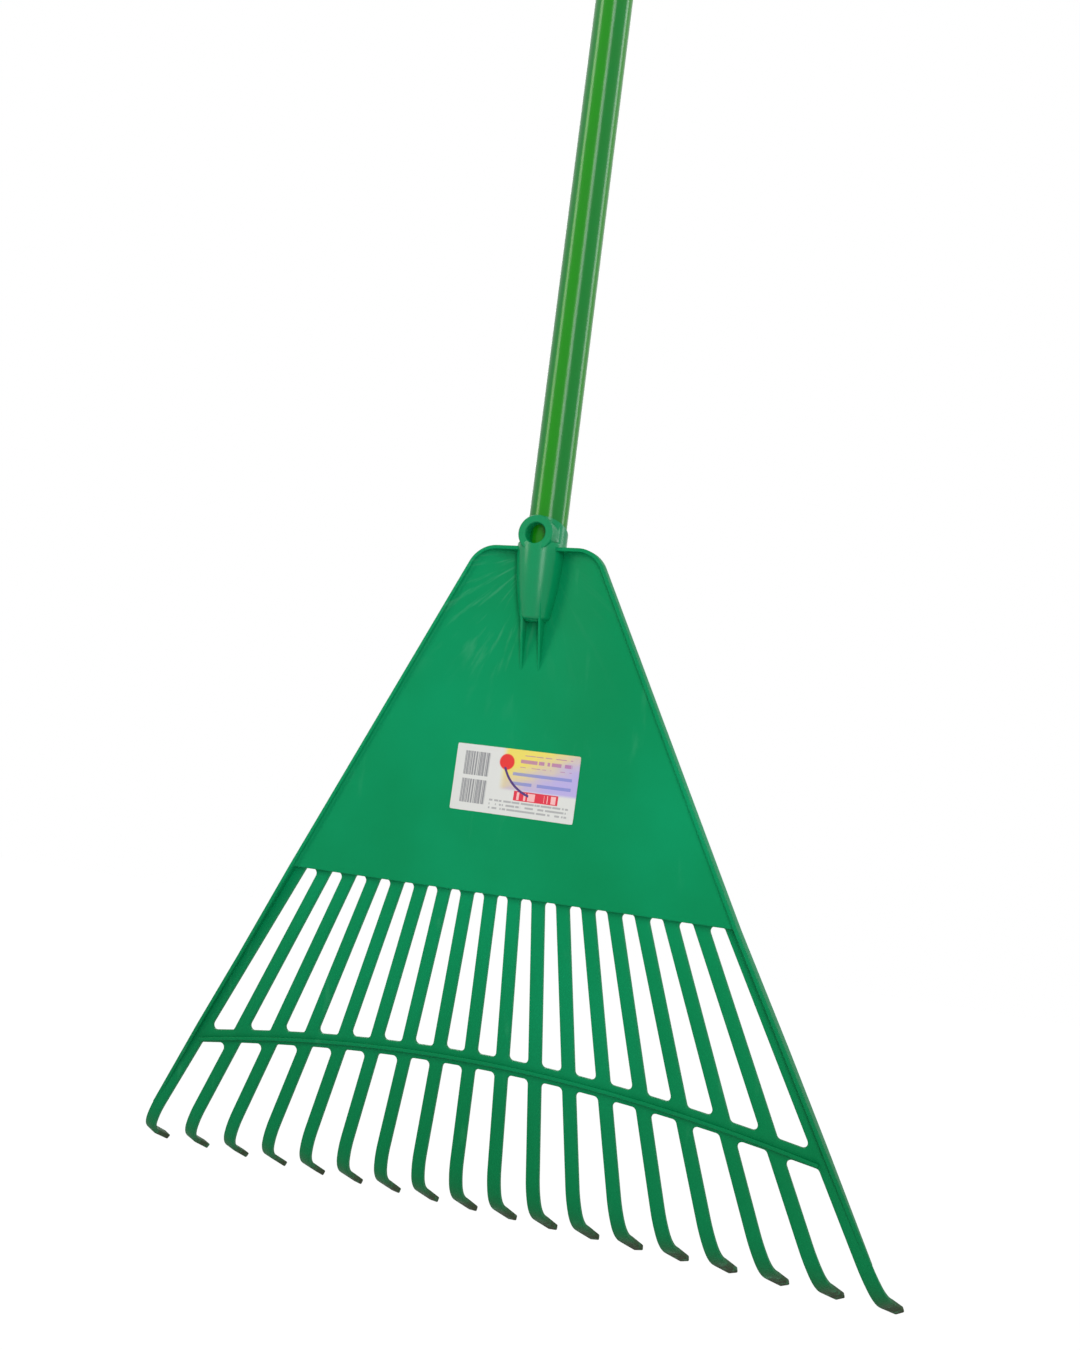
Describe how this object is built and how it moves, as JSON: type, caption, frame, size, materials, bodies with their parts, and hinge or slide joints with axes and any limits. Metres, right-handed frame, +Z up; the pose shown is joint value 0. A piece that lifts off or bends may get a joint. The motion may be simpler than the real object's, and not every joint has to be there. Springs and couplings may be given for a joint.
{
  "type": "leaf rake",
  "caption": "Plastic leaf rake: a dished fan plate with hooked flat tines, an arched cross bar and a push-fit socket on a long film-covered steel handle.",
  "frame": {"origin": "centre of the hanging hole in the cap at the handle's top end", "axes": "+Z up along the handle, +X to the right seen from the front, +Y to the back, the side the tines hook towards"},
  "size_m": [0.452, 0.0649, 1.545],
  "materials": {
    "head_plastic": "satin",
    "handle_film": "gloss",
    "cap_plastic": "satin",
    "plug_plastic": "satin",
    "steel": "satin",
    "sticker": "gloss"
  },
  "bodies": {
    "handle": {"handle_tube": "steel", "handle_cover": "handle_film", "hang_cap": "cap_plastic", "handle_plug": "plug_plastic"},
    "head": {"head_panel": "head_plastic", "socket": "head_plastic", "label": "sticker", "edge_flange_left": "head_plastic", "edge_flange_right": "head_plastic", "tine_01": "head_plastic", "tine_02": "head_plastic", "tine_03": "head_plastic", "tine_04": "head_plastic", "tine_05": "head_plastic", "tine_06": "head_plastic", "tine_07": "head_plastic", "tine_08": "head_plastic", "tine_09": "head_plastic", "tine_10": "head_plastic", "tine_11": "head_plastic", "tine_12": "head_plastic", "tine_13": "head_plastic", "tine_14": "head_plastic", "tine_15": "head_plastic", "tine_16": "head_plastic", "tine_17": "head_plastic", "tine_18": "head_plastic", "cross_bar": "head_plastic", "cross_bar_rib": "head_plastic"}
  },
  "joints": [
    {"name": "head_pull_off", "type": "slide", "parent": "handle", "child": "head", "axis": [0, 0, -1], "range_m": [0, 0.06]}
  ]
}
